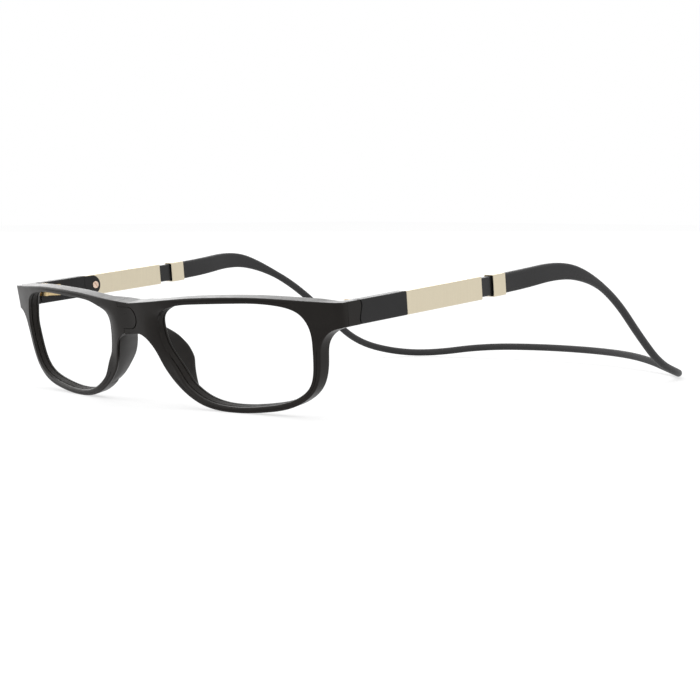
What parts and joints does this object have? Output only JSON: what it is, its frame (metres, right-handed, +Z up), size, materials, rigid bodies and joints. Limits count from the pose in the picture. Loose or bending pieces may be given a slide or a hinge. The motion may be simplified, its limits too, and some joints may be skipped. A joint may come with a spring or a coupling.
{
  "type": "magnetic bridge reading glasses",
  "caption": "Reading glasses whose black front parts at a magnetic bridge, with metal-sleeved temples that slide and a soft headband joining them behind.",
  "frame": {"origin": "bottom centre of the bounding box, on the table, midway between the bridge and the back of the headband", "axes": "+X towards the wearer's left, -Y the way the lenses face, +Z up"},
  "size_m": [0.1416, 0.1932, 0.0381],
  "materials": {
    "front_plastic": "satin black, slightly warm",
    "temple_plastic": "satin charcoal black",
    "lens": "clear and polished",
    "magnet": "nickel plated",
    "hinge_metal": "satin gold",
    "sleeve_metal": "satin champagne gold",
    "screw_metal": "polished rose gold",
    "strip_plastic": "satin black",
    "strap_rubber": "matt charcoal"
  },
  "bodies": {
    "right_arm": {"strip_right": "strip_plastic", "ferrule_right": "sleeve_metal", "strap": "strap_rubber"},
    "left_arm": {"strip_left": "strip_plastic", "ferrule_left": "sleeve_metal"},
    "left_temple": {"temple_front_left": "temple_plastic", "sleeve_left": "sleeve_metal", "sleeve_screw_left": "screw_metal", "temple_leaf_left": "hinge_metal", "hinge_screw_left": "hinge_metal"},
    "left_front": {"rim_left": "front_plastic", "lens_left": "lens", "magnet_left": "magnet", "front_leaf_left": "hinge_metal"},
    "right_temple": {"temple_front_right": "temple_plastic", "sleeve_right": "sleeve_metal", "sleeve_screw_right": "screw_metal", "temple_leaf_right": "hinge_metal", "hinge_screw_right": "hinge_metal"},
    "right_front": {"rim_right": "front_plastic", "lens_right": "lens", "magnet_right": "magnet", "front_leaf_right": "hinge_metal"}
  },
  "joints": [
    {"name": "strap_flex", "type": "hinge", "parent": "right_arm", "child": "left_arm", "pos_m": [0, 0.0955, 0.0047], "axis": [0, 0, 1], "range_deg": [0, 30], "stiffness_Nm_per_rad": 0.02, "deforming": ["strap"]},
    {"name": "left_slide", "type": "slide", "parent": "left_arm", "child": "left_temple", "axis": [0, -0.9953, -0.0965], "range_m": [-0.0042, 0.01]},
    {"name": "left_fold", "type": "hinge", "parent": "left_temple", "child": "left_front", "pos_m": [0.0646, -0.07728, 0.02836], "axis": [0, 0, -1], "range_deg": [0, 88]},
    {"name": "right_slide", "type": "slide", "parent": "right_arm", "child": "right_temple", "axis": [0, -0.9953, -0.0965], "range_m": [-0.0042, 0.01]},
    {"name": "right_fold", "type": "hinge", "parent": "right_temple", "child": "right_front", "pos_m": [-0.0646, -0.07728, 0.02836], "axis": [0, 0, 1], "range_deg": [0, 88]}
  ]
}
